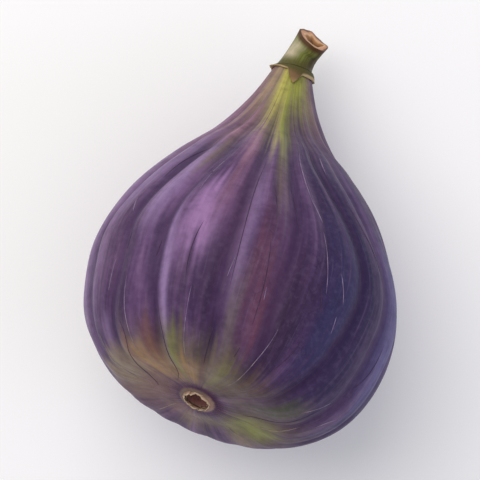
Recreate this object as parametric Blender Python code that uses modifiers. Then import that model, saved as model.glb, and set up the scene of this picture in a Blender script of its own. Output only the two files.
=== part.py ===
"""A fresh fig with its cut stem, lying on its side as it would on a table.

The fig is drawn along its own axis: X across, Y from the eye to the stem, Z up. Every piece is a
section turned about that axis and then laid along the fig's bent centre line. An empty tips the
whole fig so that it rests on a small flat of its belly, with the eye raised.
"""

import math
import random

import bmesh
import bpy
from mathutils import Matrix, Vector

# The fig's length from the eye end to the foot of the stem, and its half-widths, in metres
LENGTH = 0.0574
SKIN_SECTION = [(0.0, 0.00305), (0.0003, 0.0075), (0.0009, 0.01415), (0.0074, 0.0205),
                (0.0182, 0.02283), (0.0287, 0.02003), (0.0373, 0.01517), (0.0445, 0.00947),
                (0.0512, 0.00555), (LENGTH, 0.00295)]

# The centre line: a lean to one side, a slight sag, a neck that lifts over its last part, and
# uneven growth that nudges it aside by (station, distance), each over a short reach
LEAN, SWAY, SAG = 0.0014, 0.00061, -0.00065
SIDE_NUDGES, NUDGE_REACH = [(0.004, 0.00026), (0.016, 0.00036), (0.028, -0.00062), (0.04, -0.00016)], 0.009
NECK_LIFT, NECK_START = 0.0042, 0.3
EYE_SLANT = (0.009, -0.155)
SLANT_FADES_AT = 0.62

# The eye lies a little above the axis, in a shallow dip that faces up
EYE_SHIFT, EYE_SHIFT_REACH = (-0.00054, 0.00085), 0.013
EYE_SINK, EYE_TILT, EYE_ROLL, EYE_SINK_REACH = 0.00005, 0.2, -0.06, 0.008
EYE_END = 0.0035

# Ribs: each groove is (degrees round the fig at the eye, at the belly and at the neck, depth share)
GROOVES_ABOVE = [(-23, 5, 30, 0.8), (12, 28, 52, 0.8), (44, 45, 67, 1.0), (58, 62, 74, 0.45),
                 (68, 77, 80, 1.0), (92, 97.5, 93, 0.9), (105, 109, 100, 0.3), (121, 124, 109, 1.0),
                 (158, 141, 122, 1.0), (183, 164, 141, 0.8)]
GROOVES_BELOW, DRIFT_BELOW, LEAST_BELOW, MOST_BELOW = 7, 2.5, 0.35, 0.65
GROOVE_DEPTH, GROOVE_WIDTH, RIB_CROWN = 0.0005, 0.0013, 0.00015
RIBS_START, RIBS_RISE, RIBS_FADE, RIBS_LOST_AT_NECK = 0.006, 0.012, 0.064, 0.75
RIBS_LEFT_BELOW, BELOW_SHARPNESS, BELOW_START = 0.5, 1.5, 0.2
WIDEST_SHOULDER = 0.0205
EYE_WAY, BELLY_WAY, NECK_WAY = 0.010, 0.035, 0.056
COLUMNS_PER_RIB = 7

# The eye: a dimple that seats a ring of scales round a short opening
EYE_DEPTH, EYE_RADIUS = 0.0026, 0.00165
EYE_FLOOR = [(0.0, 0.0), (0.0002, 0.75), (0.0008, 1.0)]
EDGE_BREAK = 0.0001
SEAT_DEPTH, SEAT_RADIUS = 0.0005, 0.00305
SCALE_RING_RADIUS, SCALE_RING_HALF_WIDTH, SCALE_RING_HALF_HEIGHT = 0.00225, 0.00045, 0.0005
SCALE_RING_RISE = 0.0003
EYE_SCALES, SCALE_LIFT = 9, 0.00013
RING_CORNERS, STEPS_PER_SCALE = 10, 7

# The stem: height and radius from its foot to the cut, its bend, and the slant of the cut
STEM_SECTION = [(0.0012, 0.00285), (0.0017, 0.00252), (0.0025, 0.00232), (0.0036, 0.00224),
                (0.0046, 0.00227), (0.0053, 0.00235)]
STEM_FOOT, STEM_STEPS = 0.0002, 40
STEM_SIDE, STEM_UP = 0.0018, 0.0006
SIDE_AT_FOOT, SIDE_POWER, BEND_SHARE = 0.15, 1.5, 0.7
CUT_SLANT = (0.42, 0.73)
CUT_RIM, CUT_PITH, CUT_HOLLOW = 0.0003, 0.0011, 0.0006
CUT_STARTS_AT, PITH_EDGE_SHARE = 0.0022, 0.4

# Bracts: (degrees round the neck, half-width in degrees, length, spread at the tip)
BRACTS = [(83, 33, 0.0031, 0.0001), (160, 40, 0.0007, 0.0002), (-14, 34, 0.0009, 0.0002)]
BRACT_THICKNESS, BRACT_LIP = 0.0006, 0.0004
COLLAR_TOP, COLLAR_UNDER, COLLAR_RADIUS, COLLAR_RIM = 0.0009, 0.0003, 0.0030, 0.0006
BRACT_TAPER, BRACT_ROWS, BRACT_STEPS = 1.1, 5, 72

# How it lies: tipped about X, with the lowest point of the belly over the origin
PITCH = math.radians(27)
BELLY_X, BELLY_Y, BELLY_DROP = 0.0016, 0.0196, 0.03184
REST_FLAT_DEPTH, RIBS_START_ABOVE_FLAT = 0.00045, 0.0025
CUTTER_SIZE = (0.06, 0.06, 0.01)
FIT_GAP = 0.0003
ROWS_PER_SPAN = 3
SEED = 7


def smooth(t):
    """Eases from 0 to 1."""
    t = min(max(t, 0.0), 1.0)
    return t * t * (3 - 2 * t)


def mix(a, b, t):
    return a + (b - a) * t


def spline(points, per_span):
    """A smooth curve through the points (Catmull-Rom), with its first tangent square to the axis."""
    before = (points[1][0], -points[1][1])
    after = tuple(2 * a - b for a, b in zip(points[-1], points[-2]))
    run = [before] + list(points) + [after]
    curve = []
    for p0, p1, p2, p3 in zip(run, run[1:], run[2:], run[3:]):
        for step in range(per_span):
            t = step / per_span
            curve.append(tuple(0.5 * (2 * b + (c - a) * t + (2 * a - 5 * b + 4 * c - d) * t ** 2
                                      + (3 * b - a - 3 * c + d) * t ** 3)
                               for a, b, c, d in zip(p0, p1, p2, p3)))
    return curve + [points[-1]]


def skin_radius(station):
    """The fig's half-width at a station near the neck."""
    for (s0, r0), (s1, r1) in zip(SKIN_SECTION, SKIN_SECTION[1:]):
        if station <= s1:
            return mix(r0, r1, (station - s0) / (s1 - s0))
    return SKIN_SECTION[-1][1]


def centre_line(station):
    """The centre line's offset (x, z) and its slope at a station; straight on past the neck."""
    along = min(station, LENGTH) / LENGTH
    turn = math.pi * along
    lift = max(along - NECK_START, 0) / (1 - NECK_START)
    x = LEAN * math.sin(turn) + SWAY * math.sin(2 * turn)
    z = SAG * math.sin(turn) + NECK_LIFT * lift ** 3
    slope_x = (LEAN * math.cos(turn) + 2 * SWAY * math.cos(2 * turn)) * math.pi / LENGTH
    for place, size in SIDE_NUDGES:
        x += size * math.exp(-((station - place) / NUDGE_REACH) ** 2)
    slope_z = (SAG * math.cos(turn) * math.pi + NECK_LIFT * 3 * lift ** 2 / (1 - NECK_START)) / LENGTH
    past = max(station - LENGTH, 0)
    return x + past * slope_x, z + past * slope_z, slope_x, slope_z


def settle_eye(station, x, z):
    """Moves the middle of the eye end up, and sinks and tilts it; the rest of the fig stays."""
    if station > EYE_END:
        return station, x, z
    out = math.hypot(x, z)
    shift, sink = 1 - smooth(out / EYE_SHIFT_REACH), 1 - smooth(out / EYE_SINK_REACH)
    station += sink * (EYE_SINK + EYE_TILT * z + EYE_ROLL * x)
    return station, x + shift * EYE_SHIFT[0], z + shift * EYE_SHIFT[1]


def lay(station, x, z):
    """Puts a point of the straight, turned form on the fig's centre line, square to it."""
    station, x, z = settle_eye(station, x, z)
    centre_x, centre_z, slope_x, slope_z = centre_line(station)
    fade = 1 - smooth(station / LENGTH / SLANT_FADES_AT)
    y = station + (fade * EYE_SLANT[0] - slope_x) * x + (fade * EYE_SLANT[1] - slope_z) * z
    return Vector((centre_x + x, y, centre_z + z))


def face_out(bm):
    """Turns every face of a closed mesh outwards."""
    bmesh.ops.recalc_face_normals(bm, faces=bm.faces)
    if bm.calc_volume(signed=True) < 0:
        bmesh.ops.reverse_faces(bm, faces=bm.faces)
    bm.normal_update()


def turned(name, section, steps, closed=False):
    """Turns a section of (station, radius) points about the axis and returns the mesh as a bmesh."""
    outline = bpy.data.meshes.new(name + "_section")
    edges = [(i, i + 1) for i in range(len(section) - 1)]
    if closed:
        edges.append((len(section) - 1, 0))
    outline.from_pydata([(radius, 0, station) for station, radius in section], edges, [])
    turning = bpy.data.objects.new(name + "_section", outline)
    bpy.context.scene.collection.objects.link(turning)
    screw = turning.modifiers.new("Turn", 'SCREW')
    screw.steps = screw.render_steps = steps
    screw.use_merge_vertices = True
    screw.merge_threshold = 1e-6
    mesh = bpy.data.meshes.new_from_object(turning.evaluated_get(bpy.context.evaluated_depsgraph_get()))
    bpy.data.objects.remove(turning)
    bm = bmesh.new()
    bm.from_mesh(mesh)
    bpy.data.meshes.remove(mesh)
    bmesh.ops.remove_doubles(bm, verts=bm.verts, dist=1e-6)
    face_out(bm)
    return bm


def add_piece(name, bm, colour, roughness):
    """Makes the named object from its bmesh, with its own material, under the resting empty."""
    face_out(bm)
    mesh = bpy.data.meshes.new(name)
    bm.to_mesh(mesh)
    bm.free()
    mesh.shade_smooth()
    mesh.set_sharp_from_angle(angle=math.radians(50))
    material = bpy.data.materials.new(name + "_surface")
    material.use_nodes = True
    surface = material.node_tree.nodes["Principled BSDF"]
    surface.inputs["Base Color"].default_value = colour
    surface.inputs["Roughness"].default_value = roughness
    mesh.materials.append(material)
    piece = bpy.data.objects.new(name, mesh)
    fig_collection.objects.link(piece)
    piece.parent = resting
    return piece


def all_grooves():
    """The grooves seen from above, then those on the underside, evenly spread with a little chance."""
    chance = random.Random(SEED)
    first, last = GROOVES_ABOVE[0], GROOVES_ABOVE[-1]
    grooves = list(GROOVES_ABOVE)
    for number in range(1, GROOVES_BELOW + 1):
        share = number / (GROOVES_BELOW + 1)
        drift = chance.uniform(-DRIFT_BELOW, DRIFT_BELOW)
        angles = [mix(last[k], first[k] + 360, share) + drift for k in range(3)]
        grooves.append((*angles, chance.uniform(LEAST_BELOW, MOST_BELOW)))
    return grooves


def way_along_skin(station, radius):
    """How far a point lies from the eye along the skin, near enough to place the grooves by."""
    return station + (radius if station < SKIN_SECTION[3][0] else WIDEST_SHOULDER)


def groove_azimuth(groove, way):
    eye, belly, neck = groove[:3]
    if way < BELLY_WAY:
        return mix(eye, belly, smooth((way - EYE_WAY) / (BELLY_WAY - EYE_WAY)))
    return mix(belly, neck, smooth((way - BELLY_WAY) / (NECK_WAY - BELLY_WAY)))


def rib_place(column_share, way):
    """For a column of the mesh: its azimuth, its share across its rib and the two grooves beside it."""
    ribs = len(GROOVES)
    rib = int(column_share * ribs + 1e-6)
    across = column_share * ribs - rib
    left, right = GROOVES[rib % ribs], GROOVES[(rib + 1) % ribs]
    start = groove_azimuth(left, way)
    stop = groove_azimuth(right, way) + (360 if rib + 1 >= ribs else 0)
    return math.radians(mix(start, stop, across)), across, math.radians(stop - start), left[3], right[3]


def rib_relief(across, span, radius, way, left_share, right_share):
    """Height of the skin over the plain form: a low crown on each rib, and a groove on either side."""
    width = span * radius
    groove = max(share * math.exp(-(distance * width / GROOVE_WIDTH) ** 2)
                 for share, distance in ((left_share, across), (right_share, 1 - across)))
    lost = RIBS_LOST_AT_NECK * smooth((way - RIBS_FADE) / RIBS_RISE)
    fade = smooth((way - RIBS_START) / RIBS_RISE) * (1 - lost)
    return fade * (RIB_CROWN * math.sin(math.pi * across) - GROOVE_DEPTH * groove)


def fig_body():
    """The fig itself: ribbed skin, neck and the dimple of the eye, one grown piece."""
    dimple = [(EYE_DEPTH - rise, EYE_RADIUS * share) for rise, share in EYE_FLOOR]
    dimple += [(SEAT_DEPTH + EDGE_BREAK, EYE_RADIUS), (SEAT_DEPTH, EYE_RADIUS + EDGE_BREAK),
               (SEAT_DEPTH, SEAT_RADIUS - EDGE_BREAK)]
    section = dimple + spline(SKIN_SECTION, ROWS_PER_SPAN) + [(LENGTH, 0)]
    bm = turned("fig_body", section, COLUMNS_PER_RIB * len(GROOVES))
    for vert in bm.verts:
        station, radius = vert.co.z, math.hypot(vert.co.x, vert.co.y)
        share = (math.atan2(vert.co.y, vert.co.x) / (2 * math.pi)) % 1.0
        if share > 1 - 1e-6:
            share = 0.0
        way = way_along_skin(station, radius)
        azimuth, across, span, left_share, right_share = rib_place(share, way)
        relief = 0.0
        if radius > SEAT_RADIUS:
            outward = Vector((vert.normal.x, vert.normal.y)).dot(Vector((vert.co.x, vert.co.y)) / radius)
            plain = pose @ lay(station, radius * math.cos(azimuth), radius * math.sin(azimuth))
            relief = rib_relief(across, span, radius, way, left_share, right_share)
            below = smooth(BELOW_START - BELOW_SHARPNESS * math.sin(azimuth))
            relief *= smooth(plain.z / RIBS_START_ABOVE_FLAT) * mix(1, RIBS_LEFT_BELOW, below)
            station += relief * vert.normal.z
            radius += relief * outward
        vert.co = lay(station, radius * math.cos(azimuth), radius * math.sin(azimuth))
    return add_piece("fig_body", bm, (0.13, 0.06, 0.17, 1), 0.5)


def eye_scales():
    """The small overlapping scales that ring the eye, grown together at their roots."""
    section = []
    for corner in range(RING_CORNERS):
        angle = 2 * math.pi * corner / RING_CORNERS
        section.append((-SCALE_RING_RISE - SCALE_RING_HALF_HEIGHT * math.cos(angle),
                        SCALE_RING_RADIUS + SCALE_RING_HALF_WIDTH * math.sin(angle)))
    bm = turned("eye_scales", section, STEPS_PER_SCALE * EYE_SCALES, closed=True)
    for vert in bm.verts:
        station, radius = vert.co.z, math.hypot(vert.co.x, vert.co.y)
        azimuth = math.atan2(vert.co.y, vert.co.x)
        over_next = (azimuth / (2 * math.pi) * EYE_SCALES) % 1.0
        proud = max(-station - SCALE_RING_RISE, 0) / SCALE_RING_HALF_HEIGHT
        station -= SCALE_LIFT * proud * math.cos(math.pi * over_next)
        radius -= SCALE_LIFT * proud * math.sin(math.pi * over_next)
        vert.co = lay(station, radius * math.cos(azimuth), radius * math.sin(azimuth))
    return add_piece("eye_scales", bm, (0.45, 0.28, 0.16, 1), 0.7)


def bract_reach(azimuth):
    """How long the collar's edge is at an azimuth, and how far it spreads: most at a bract's tip."""
    reach, spread = BRACT_LIP, 0.0
    for middle, half_width, length, tip_spread in BRACTS:
        away = abs((math.degrees(azimuth) - middle + 180) % 360 - 180) / half_width
        if away < 1:
            point = 1 - away ** BRACT_TAPER
            reach = max(reach, mix(BRACT_LIP, length, point))
            spread = max(spread, tip_spread * point)
    return reach, spread


def bract_collar():
    """Three brown bracts that hang over the top of the neck from the joint of the stem."""
    outside = [(COLLAR_UNDER - step / BRACT_ROWS, 2) for step in range(BRACT_ROWS + 1)]
    inside = [(COLLAR_UNDER - step / BRACT_ROWS, 1) for step in range(BRACT_ROWS, -1, -1)]
    disc = [(COLLAR_TOP, 0), (COLLAR_TOP, COLLAR_RADIUS - COLLAR_RIM), (COLLAR_TOP, COLLAR_RADIUS)]
    bm = turned("bract_collar", disc + outside + inside + [(COLLAR_UNDER, 0)], BRACT_STEPS)
    for vert in bm.verts:
        station, radius = vert.co.z, math.hypot(vert.co.x, vert.co.y)
        azimuth = math.atan2(vert.co.y, vert.co.x)
        if radius > 0.5:
            reach, spread = bract_reach(azimuth)
            drop = COLLAR_UNDER - station
            wall = 1 if radius > 1.5 else 0
            station = LENGTH + COLLAR_UNDER - drop * reach
            radius = skin_radius(station) + FIT_GAP + wall * BRACT_THICKNESS + spread * drop ** 2
        else:
            station += LENGTH
        vert.co = lay(station, radius * math.cos(azimuth), radius * math.sin(azimuth))
    return add_piece("bract_collar", bm, (0.20, 0.13, 0.05, 1), 0.65)


def stem():
    """The short cut stem: flared at its foot, bent to one side, cut at a slant, with a pithy middle."""
    foot, top = STEM_SECTION[0], STEM_SECTION[-1]
    base = [(foot[0], 0), (foot[0], foot[1] - STEM_FOOT)]
    cut = [(top[0], top[1] - CUT_RIM), (top[0] - CUT_HOLLOW * PITH_EDGE_SHARE, CUT_PITH),
           (top[0] - CUT_HOLLOW, 0)]
    bm = turned("stem", base + STEM_SECTION + cut, STEM_STEPS)
    for vert in bm.verts:
        height, x, z = vert.co.z, vert.co.x, vert.co.y
        rise = height / top[0]
        bend_x, bend_z = 2 * STEM_SIDE * rise / top[0] * BEND_SHARE, 2 * STEM_UP * rise / top[0]
        to_cut = smooth((height - CUT_STARTS_AT) / (top[0] - CUT_HOLLOW - CUT_STARTS_AT))
        slant_x, slant_z = mix(bend_x, CUT_SLANT[0], to_cut), mix(bend_z, CUT_SLANT[1], to_cut)
        side = STEM_SIDE * mix(SIDE_AT_FOOT, 1, rise ** SIDE_POWER)
        vert.co = lay(LENGTH + height - slant_x * x - slant_z * z, side + x, STEM_UP * rise ** 2 + z)
    return add_piece("stem", bm, (0.15, 0.15, 0.05, 1), 0.6)


def rest_on_flat(body):
    """Cuts the small flat that the belly rests on."""
    bpy.ops.mesh.primitive_cube_add(size=1)
    cutter = bpy.context.object
    cutter.name = "resting_plane_cutter"
    cutter.scale = CUTTER_SIZE
    cutter.location = (0, 0, -CUTTER_SIZE[2] / 2)
    cutter.hide_render = True
    cutter.display_type = 'WIRE'
    for collection in list(cutter.users_collection):
        collection.objects.unlink(cutter)
    cutter_collection.objects.link(cutter)
    flat = body.modifiers.new("Resting flat", 'BOOLEAN')
    flat.operation = 'DIFFERENCE'
    flat.object = cutter


for old in list(bpy.data.objects):
    bpy.data.objects.remove(old)
fig_collection = bpy.data.collections.new("fresh_fig")
cutter_collection = bpy.data.collections.new("cutters")
bpy.context.scene.collection.children.link(fig_collection)
bpy.context.scene.collection.children.link(cutter_collection)

GROOVES = all_grooves()
tip = Matrix.Rotation(-PITCH, 4, 'X')
pose = Matrix.Translation((-BELLY_X, -BELLY_Y, BELLY_DROP - REST_FLAT_DEPTH)) @ tip
resting = bpy.data.objects.new("resting_fig", None)
resting.matrix_world = pose
fig_collection.objects.link(resting)

rest_on_flat(fig_body())
eye_scales()
bract_collar()
stem()
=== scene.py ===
import math
import random

import bpy
import numpy as np
from mathutils import Matrix, Vector


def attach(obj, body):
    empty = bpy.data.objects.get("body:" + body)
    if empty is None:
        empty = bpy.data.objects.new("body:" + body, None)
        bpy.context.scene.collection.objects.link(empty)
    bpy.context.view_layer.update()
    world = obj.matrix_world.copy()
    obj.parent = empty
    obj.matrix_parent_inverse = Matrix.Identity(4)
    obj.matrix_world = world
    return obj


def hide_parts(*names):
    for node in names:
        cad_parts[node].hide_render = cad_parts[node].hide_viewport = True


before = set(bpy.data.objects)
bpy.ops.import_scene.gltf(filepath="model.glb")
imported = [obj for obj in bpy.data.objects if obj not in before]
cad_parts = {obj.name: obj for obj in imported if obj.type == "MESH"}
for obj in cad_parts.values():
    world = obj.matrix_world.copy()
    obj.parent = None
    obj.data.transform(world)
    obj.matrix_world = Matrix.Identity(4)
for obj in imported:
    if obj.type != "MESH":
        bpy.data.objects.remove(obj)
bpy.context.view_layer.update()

MM, PER_MM = 0.001, 1000


# The table, the light and the camera: a plain matt table, one broad soft light over the fig's left
# shoulder, a weak cool one low on the right, pale light from all round, and a long lens above.

TABLE_WHITE, TABLE_ROUGHNESS, TABLE_HALF, TABLE_DROP = "FFFFFE", 0.9, 1.5, 0.02 * MM
SKY_WHITE, SKY_STRENGTH = "F6F6FA", 0.60
KEY_LIGHT = dict(way=(-0.54, 0.38, 0.75), distance=0.62, size=0.85, power=3.0, tint="FFFAF5")
SIDE_LIGHT = dict(way=(0.86, -0.10, 0.30), distance=0.60, size=0.34, power=0.55, tint="C9D2FF")
LENS, SENSOR = 150, 36
CAMERA_PLACE, CAMERA_TARGET = (5.75, -24.54, 312.34), (-1.92, 3.71, 33.87)
CAMERA_TURN = math.radians(15.2)


def colour(hexa):
    """An sRGB hex value as linear red, green and blue, with full alpha."""
    parts = [int(hexa[i:i + 2], 16) / 255 for i in (0, 2, 4)]
    return (*[c / 12.92 if c <= 0.04045 else ((c + 0.055) / 1.055) ** 2.4 for c in parts], 1.0)


def add(tree, kind, inputs=None, give=None, stops=(), **settings):
    """Adds a node with its settings, and gives its output of that name, or else the first in use.
    An input takes a value or another node's output; stops are the colours or greys of a ramp."""
    node = tree.nodes.new(kind)
    for name, value in settings.items():
        setattr(node, name, value)
    for socket, value in (inputs or {}).items():
        if isinstance(value, bpy.types.NodeSocket):
            tree.links.new(value, node.inputs[socket])
        else:
            node.inputs[socket].default_value = value
    if stops:
        marks = node.color_ramp.elements
        while len(marks) < len(stops):
            marks.new(1.0)
        for mark, (position, shade) in zip(marks, stops):
            mark.position = position
            mark.color = colour(shade) if isinstance(shade, str) else (shade, shade, shade, 1)
    return node.outputs[give] if give else next((out for out in node.outputs if out.enabled), None)


def surface(name, finish):
    """A new material with constants on its Principled shader, its tree and its Object coordinates."""
    material = bpy.data.materials.new(name)
    material.use_nodes = True
    tree = material.node_tree
    shader = tree.nodes["Principled BSDF"]
    for socket, value in finish.items():
        shader.inputs[socket].default_value = value
    return material, tree, shader, add(tree, "ShaderNodeTexCoord", give="Object")


def soft_light(name, way, distance, size, power, tint):
    light = bpy.data.lights.new(name, 'AREA')
    light.shape, light.size, light.energy, light.color = 'DISK', size, power, colour(tint)[:3]
    lamp = bpy.data.objects.new(name, light)
    away = Vector(way).normalized()
    lamp.location = Vector(CAMERA_TARGET) * MM + away * distance
    lamp.rotation_euler = away.to_track_quat('Z', 'Y').to_euler()
    bpy.context.scene.collection.objects.link(lamp)


soft_light("key_light", **KEY_LIGHT)
soft_light("side_light", **SIDE_LIGHT)

world = bpy.data.worlds.new("studio")
world.use_nodes = True
world.node_tree.nodes["Background"].inputs["Color"].default_value = colour(SKY_WHITE)
world.node_tree.nodes["Background"].inputs["Strength"].default_value = SKY_STRENGTH
bpy.context.scene.world = world
bpy.context.scene.view_settings.view_transform = 'Standard'

# White paint on board, rolled on: matt all over, so it shows nothing but soft shadows.
white_paint = surface("matt_white_table", {"Base Color": colour(TABLE_WHITE),
                                           "Roughness": TABLE_ROUGHNESS})[0]
floor_mesh = bpy.data.meshes.new("table_top")
floor_corners = [(x * TABLE_HALF, y * TABLE_HALF, -TABLE_DROP)
                 for x, y in ((-1, -1), (1, -1), (1, 1), (-1, 1))]
floor_mesh.from_pydata(floor_corners, [], [(0, 1, 2, 3)])
floor_mesh.materials.append(white_paint)
table_top = bpy.data.objects.new("table_top", floor_mesh)
bpy.context.scene.collection.objects.link(table_top)

camera = bpy.data.objects.new("camera", bpy.data.cameras.new("camera"))
camera.data.lens, camera.data.sensor_width = LENS, SENSOR
camera.location = Vector(CAMERA_PLACE) * MM
towards = (Vector(CAMERA_PLACE) - Vector(CAMERA_TARGET)).normalized()
right = Vector((math.cos(CAMERA_TURN), math.sin(CAMERA_TURN), 0))
facing = Matrix((right, towards.cross(right), towards)).transposed().to_4x4()
camera.matrix_world = Matrix.Translation(camera.location) @ facing
bpy.context.scene.collection.objects.link(camera)
bpy.context.scene.camera = camera


# The fig's skin: the thin violet peel of a ripe fig over its soft flesh, grown in lengthwise ribs
# from the open eye to the neck, dusted with pale wax, and still green where it ripens last.

# The form before it is bent: (mm along the fig from the eye, radius in mm)
LENGTH = 57.4 * MM
SKIN_SECTION = [(0.0, 3.05), (0.3, 7.5), (0.9, 14.15), (7.4, 20.5), (18.2, 22.83),
                (28.7, 20.03), (37.3, 15.17), (44.5, 9.47), (51.2, 5.55), (57.4, 2.95)]
EYE_SECTION = [(1.7, 0.0), (1.65, 0.7), (1.5, 1.2), (1.15, 1.5), (0.7, 1.62), (0.2, 1.72), (-0.15, 1.82),
               (-0.32, 2.02), (-0.3, 2.3), (-0.12, 2.62)]
SKIN_CURVE_STEPS, EYE_CURVE_STEPS = 60, 3
LEAN, SWAY, SAG = 1.4 * MM, 0.61 * MM, -0.65 * MM
SIDE_NUDGES, NUDGE_REACH = [(4, 0.26), (16, 0.36), (28, -0.62), (40, -0.16)], 9
NECK_LIFT, NECK_START = 4.2 * MM, 0.3
EYE_SLANT, SLANT_FADES_AT = (0.009, -0.155), 0.62

# The grooves between the ribs: (degrees round the eye, round the belly, round the neck, depth share)
GROOVES_ABOVE = [(-23, 5, 30, 0.8), (12, 28, 52, 0.8), (44, 45, 67, 1.0), (58, 62, 74, 0.45),
                 (68, 77, 80, 1.0), (92, 97.5, 93, 0.9), (105, 109, 100, 0.3), (121, 124, 109, 1.0),
                 (158, 141, 122, 1.0), (183, 164, 141, 0.8)]
GROOVES_BELOW, DRIFT_BELOW, LEAST_BELOW, MOST_BELOW, GROOVE_SEED = 7, 2.5, 0.35, 0.65, 7
EYE_SHIFT, EYE_SINK, EYE_TILT, EYE_ROLL = (-0.54 * MM, 0.85 * MM), 0.05 * MM, 0.2, -0.06
EYE_SHIFT_REACH, EYE_SINK_REACH, EYE_END = 13 * MM, 8 * MM, 3.5 * MM
RIBS_START, RIBS_RISE, RIBS_FADE, RIBS_LOST_AT_NECK = 6 * MM, 12 * MM, 64 * MM, 0.75
RIBS_START_ABOVE_FLAT = 2.5 * MM
RIBS_LEFT_BELOW, BELOW_SHARPNESS, BELOW_START = 0.5, 1.5, 0.2
EYE_WAY, BELLY_WAY, NECK_WAY = 10 * MM, 35 * MM, 56 * MM
WIDEST_SHOULDER, SHOULDER_STATION, GIRTH_RADIUS = 20.5 * MM, 7.4 * MM, 23 * MM
COLUMNS_PER_RIB, SKIN_ROWS = 20, 246
PITCH = math.radians(27)
BELLY_X, BELLY_Y, BELLY_DROP, REST_FLAT_DEPTH = 1.6 * MM, 19.6 * MM, 31.84 * MM, 0.45 * MM
RIBBING = {"Rib crown": 0.15 * MM, "Groove depth": 0.5 * MM, "Groove width": 1.3 * MM,
           "Stria height": 0.07 * MM, "Stria width": 0.9 * MM, "Stria length": 11 * MM,
           "Dent height": 0.12 * MM, "Dent width": 3.2 * MM, "Seed": 3.0}

# Where the pigments lie: (degrees round the belly, half-width in degrees, from, to in mm of skin
# from the middle of the eye, strength). Some are partly painted light: the two blooms carry painted
# highlights, lavender blue a painted rim light on the right edge, night violet and indigo painted
# shade on the right side, and the plum halo painted shade in the dip round the eye.
PIGMENTS = {
    # Partly painted shade: the darkness of the right side, away from the key light.
    "night_violet_and_shade": ("2E2648", [(45, 21, 20, 62, 0.75), (-8, 12, 20, 60, 0.6), (37, 4, 17, 32, 0.85),
        (14, 9, 12.5, 21, 0.6), (52, 5, 11, 15, 0.6), (35, 8, 17, 28, 0.75), (28, 8, 45, 54, 0.45)]),
    # Partly painted shade on the right side.
    "indigo_and_shade": ("34345C", [(52, 7, 22, 42, 0.6), (12, 9, 20, 30, 0.6), (58, 4, 32, 44, 0.4)]),
    # Partly painted rim light: the pale blue-lavender along the right edge.
    "lavender_blue_and_rim_light": ("585486", [(14, 11, 28, 46, 0.8), (25, 8, 42, 60, 0.15)]),
    # Partly painted highlight: the pale rib crests and the left flank, over the wax bloom.
    "lavender_bloom_and_highlight": ("8A719A", [(157, 10, 42, 63, 0.8), (133, 6, 38, 54, 0.8), (176, 10, 18, 58, 0.8),
        (119.5, 2.2, 12, 37, 0.95), (94, 3.5, 30, 48, 0.55), (146, 4, 15, 22, 0.5), (162, 7, 20, 36, 0.5)]),
    # Partly painted highlight: the bright patch on the middle rib, over the wax bloom.
    "mauve_bloom_and_highlight": ("A07AAA", [(111, 7, 33.5, 45, 0.85), (125.5, 3, 40, 50, 0.6)]),
    "plum": ("33203A", [(112, 4, 24.5, 32, 0.35), (70.5, 6, 14, 34, 0.8), (99, 3, 8, 24, 0.5),
        (101.5, 2.6, 22, 37, 0.6), (137, 3, 18, 40, 0.4), (147, 5, 26, 44, 0.5), (163, 4, 22, 44, 0.35)]),
    "wine": ("623E55", [(84, 6.5, 18, 38, 0.75), (78, 3, 20, 32, 0.5), (97, 3, 30, 48, 0.3)]),
    "rose": ("6C4054", [(81, 2.5, 20, 31, 0.5), (88, 2, 32, 42, 0.3)]),
    "rose_plum": ("6C4662", [(105, 4.2, 40, 57, 0.8)]),
    "olive_grey": ("6A5C60", [(91, 2.3, 15, 31, 0.85)]),
    "eye_brown": ("7A5A50", [(165, 70, 3.2, 13, 0.85), (243, 50, 3, 9.0, 0.75)]),
    "umber": ("604E40", [(70, 28, 3.5, 16, 0.85), (15, 34, 4, 16, 0.6)]),
    "olive": ("70663E", [(115, 22, 5, 19, 0.6), (86, 9, 5, 18, 0.5), (42, 9, 5, 10, 0.3),
        (-6, 28, 5, 12, 0.75), (-50, 22, 4, 8.5, 0.6)]),
    "straw": ("8E7F6A", [(-32, 13, 8.5, 14, 0.6), (274, 14, 5, 11, 0.5), (160, 36, 9, 16, 0.8),
        (92, 6, 5, 17, 0.4)]),
    "dark_green": ("4A5138", [(38, 5, 9, 18, 0.7)]),
    "yellow_green": ("7E8040", [(116, 3, 8, 20.5, 0.7), (88, 4, 6, 15, 0.3), (6, 17, 6.3, 11.5, 0.95),
        (-20, 16, 6, 9.5, 0.5)]),
    "amber": ("A27E52", [(131, 7, 6.5, 15, 0.9), (108, 7, 5.5, 13, 0.7), (122, 3, 5, 10, 0.6)]),
    "red_brown": ("6E4848", [(136.4, 1.7, 10, 17.5, 0.6), (127, 2.6, 11, 21, 0.8), (99, 2, 6, 14, 0.4)]),
    "neck_brown": ("9C7086", [(168, 26, 62, 90, 0.6), (134, 14, 58, 70, 0.9), (108, 6, 52, 64, 0.5),
        (20, 16, 66, 90, 0.5)]),
    "neck_olive": ("7A6C4A", [(104, 15, 63, 90, 0.7), (60, 42, 65.5, 90, 0.8), (128, 3, 49, 60, 0.6),
        (83, 4, 44, 66, 0.5), (150, 34, 71, 90, 0.7)]),
    "neck_tan": ("A08A6C", [(146, 12, 66, 90, 0.8), (127, 5, 67, 90, 0.6)]),
    "yellow_tan": ("BEB45E", [(112, 14, 66, 90, 0.95), (92, 11, 61, 90, 0.75)]),
    "leaf_green": ("9AA03C", [(64, 42, 70.3, 90, 0.95), (82, 9, 59, 76, 0.9), (82.5, 3, 53, 64, 0.45)]),
    # Painted shade in the shallow dip round the eye.
    "plum_halo_shade": ("42193C", [(52, 96, 2.0, 3.95, 0.95), (230, 110, 2.0, 3.2, 0.7),
        (49.5, 5, 8.5, 14, 0.6)]),
    "ring_foot": ("7E6A56", [(0, 400, 1.5, 2.5, 1.0)]),
    "ring_pink": ("97776A", [(15, 60, 1.5, 2.45, 0.8)]),
}
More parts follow.
